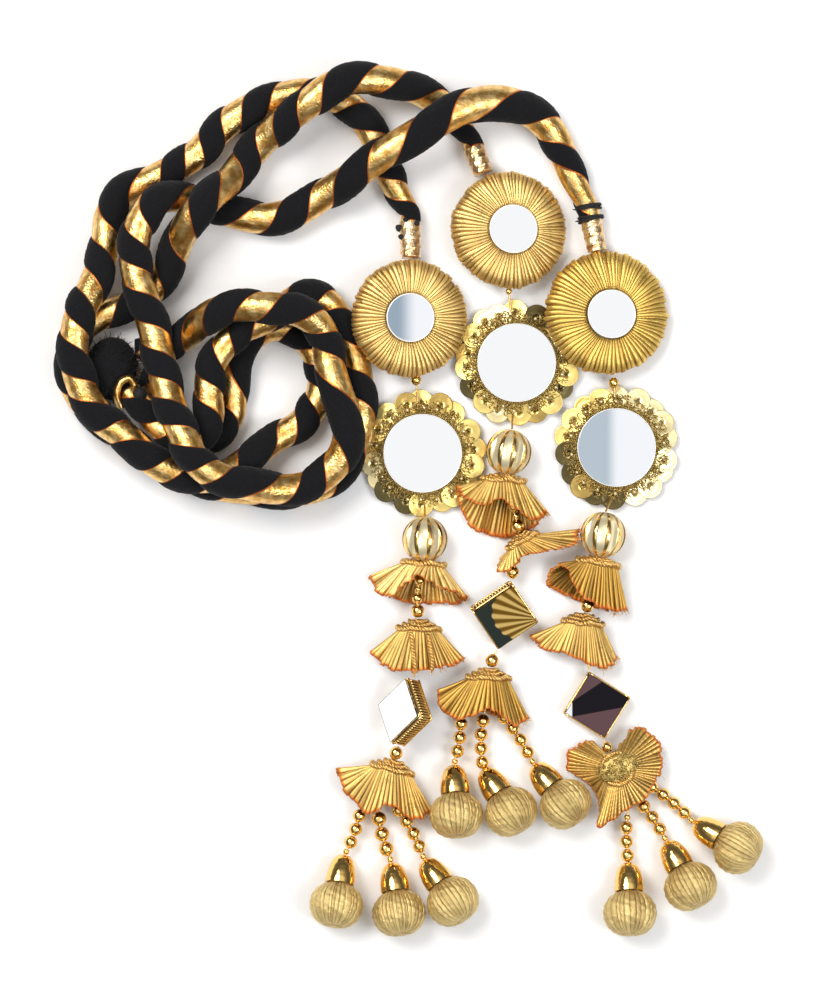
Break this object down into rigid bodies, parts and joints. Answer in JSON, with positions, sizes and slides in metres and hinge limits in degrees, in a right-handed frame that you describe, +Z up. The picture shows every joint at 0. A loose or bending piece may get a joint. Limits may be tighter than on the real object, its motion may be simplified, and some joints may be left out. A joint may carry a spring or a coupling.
{
  "type": "paranda hair extension",
  "caption": "Paranda with padded black cords wound with gold ribbon, each ending in a gold tassel with mirrors, pleated skirts and gathered balls.",
  "frame": {"origin": "middle of the box round everything but the three cords, on the surface that the part lies on", "axes": "+Y towards the cords and the head, -Y towards the tassels, +Z up from the surface, +X to the right as seen from above"},
  "size_m": [0.3048, 0.3747, 0.043],
  "materials": {
    "black_cotton": "matte, puffed",
    "gold_ribbon": "flat metallic ribbon, slightly crushed",
    "pleated_ribbon": "metallic ribbon in sharp pleats",
    "bullion": "coiled wire, bright",
    "polished_gold": "polished",
    "gold_thread": "twisted metallic",
    "sequin": "metallic gloss",
    "gold_tissue": "fine metallic tissue, satin",
    "mirror": "clear"
  },
  "bodies": {
    "root": {"head": "black_cotton", "cord_left": "black_cotton", "cord_middle": "black_cotton", "cord_right": "black_cotton", "stem_left": "gold_ribbon", "stem_middle": "gold_ribbon", "stem_right": "gold_ribbon", "rosette_left": "pleated_ribbon", "rosette_middle": "pleated_ribbon", "rosette_right": "pleated_ribbon", "rosette_mirror_left": "mirror", "rosette_mirror_middle": "mirror", "rosette_mirror_right": "mirror", "flower_left": "bullion", "flower_middle": "bullion", "flower_right": "bullion", "sequins_left": "sequin", "sequins_middle": "sequin", "sequins_right": "sequin", "flower_mirror_left": "mirror", "flower_mirror_middle": "mirror", "flower_mirror_right": "mirror", "ribbed_bead_left": "bullion", "ribbed_bead_middle": "bullion", "ribbed_bead_right": "bullion", "fan_top_left": "pleated_ribbon", "fan_top_middle": "pleated_ribbon", "fan_top_right": "pleated_ribbon", "fan_mid_left": "pleated_ribbon", "fan_mid_middle": "pleated_ribbon", "fan_mid_right": "pleated_ribbon", "fan_low_left": "pleated_ribbon", "fan_low_middle": "pleated_ribbon", "fan_low_right": "pleated_ribbon", "diamond_frame_left": "bullion", "diamond_frame_middle": "bullion", "diamond_frame_right": "bullion", "diamond_mirror_left": "mirror", "diamond_mirror_middle": "mirror", "diamond_mirror_right": "mirror", "beads_left": "polished_gold", "beads_middle": "polished_gold", "beads_right": "polished_gold", "thread_left": "gold_thread", "thread_middle": "gold_thread", "thread_right": "gold_thread", "bell_caps_left": "polished_gold", "bell_caps_middle": "polished_gold", "bell_caps_right": "polished_gold", "ball_a_left": "gold_tissue", "ball_a_middle": "gold_tissue", "ball_a_right": "gold_tissue", "ball_b_left": "gold_tissue", "ball_b_middle": "gold_tissue", "ball_b_right": "gold_tissue", "ball_c_left": "gold_tissue", "ball_c_middle": "gold_tissue", "ball_c_right": "gold_tissue"}
  },
  "joints": []
}
